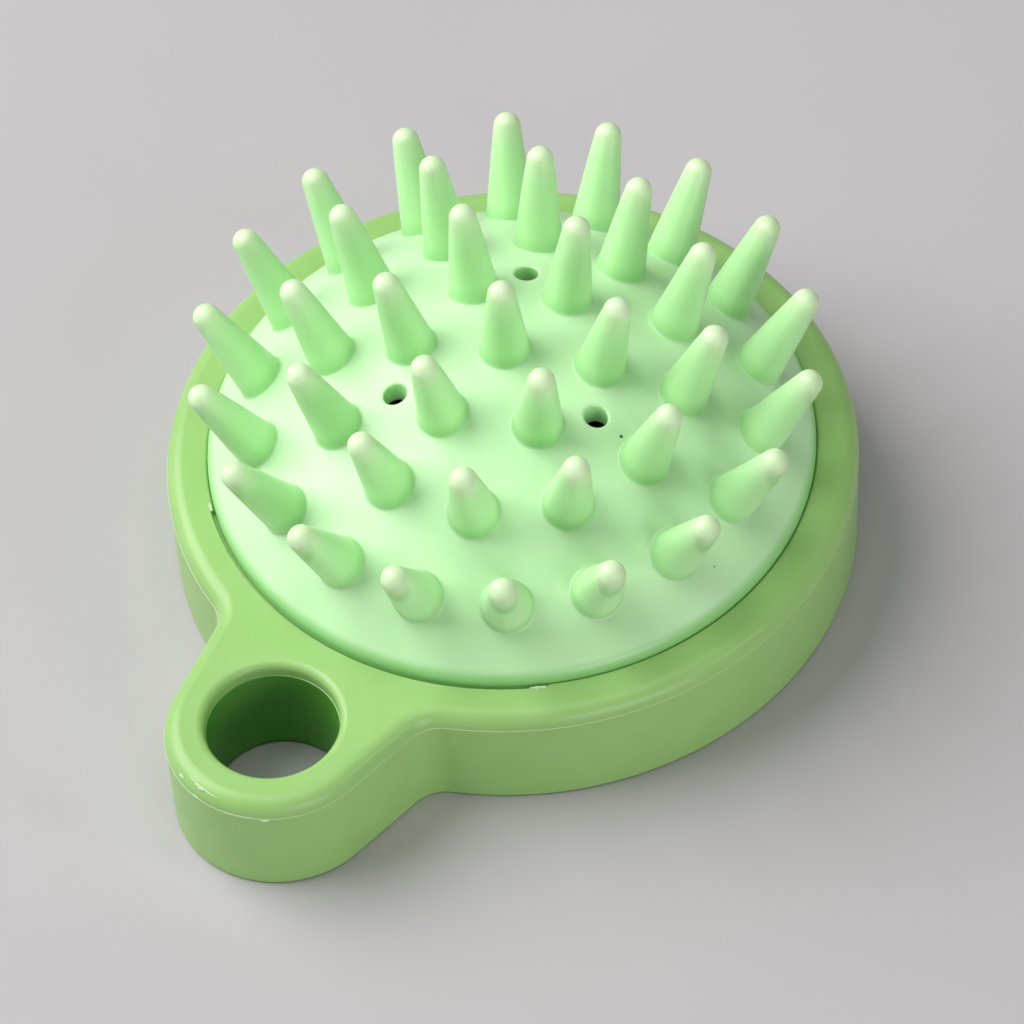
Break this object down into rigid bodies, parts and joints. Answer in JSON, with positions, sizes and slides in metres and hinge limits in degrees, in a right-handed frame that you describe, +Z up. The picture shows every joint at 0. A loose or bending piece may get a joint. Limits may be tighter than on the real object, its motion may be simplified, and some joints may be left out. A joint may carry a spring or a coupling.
{
  "type": "scalp massager brush",
  "caption": "Round hand-held scalp massager brush: soft domed pad of round-tipped bristles with air vents, in a moulded ring frame with a hanging loop.",
  "frame": {"origin": "centre of the disc on the plane that the brush lies on, which is the outer face of the palm-side cover", "axes": "+Z up out of the brush, along the bristles; the hanging loop points along -Y"},
  "size_m": [0.08, 0.0993, 0.0419],
  "materials": {
    "frame_green": "smooth moulded semi-gloss, slightly translucent",
    "pad_mint": "satin translucent elastomer",
    "clamp_white": "plain moulded",
    "cover_green": "fine moulded texture"
  },
  "bodies": {
    "shell": {"frame": "frame_green", "clamp_ring": "clamp_white", "back_cover": "cover_green"},
    "cushion": {"bristle_pad": "pad_mint"}
  },
  "joints": [
    {"name": "cushion_press", "type": "slide", "parent": "shell", "child": "cushion", "axis": [0, 0, -1], "range_m": [0, 0.003], "stiffness_N_per_m": 4000, "deforming": ["bristle_pad"]}
  ]
}
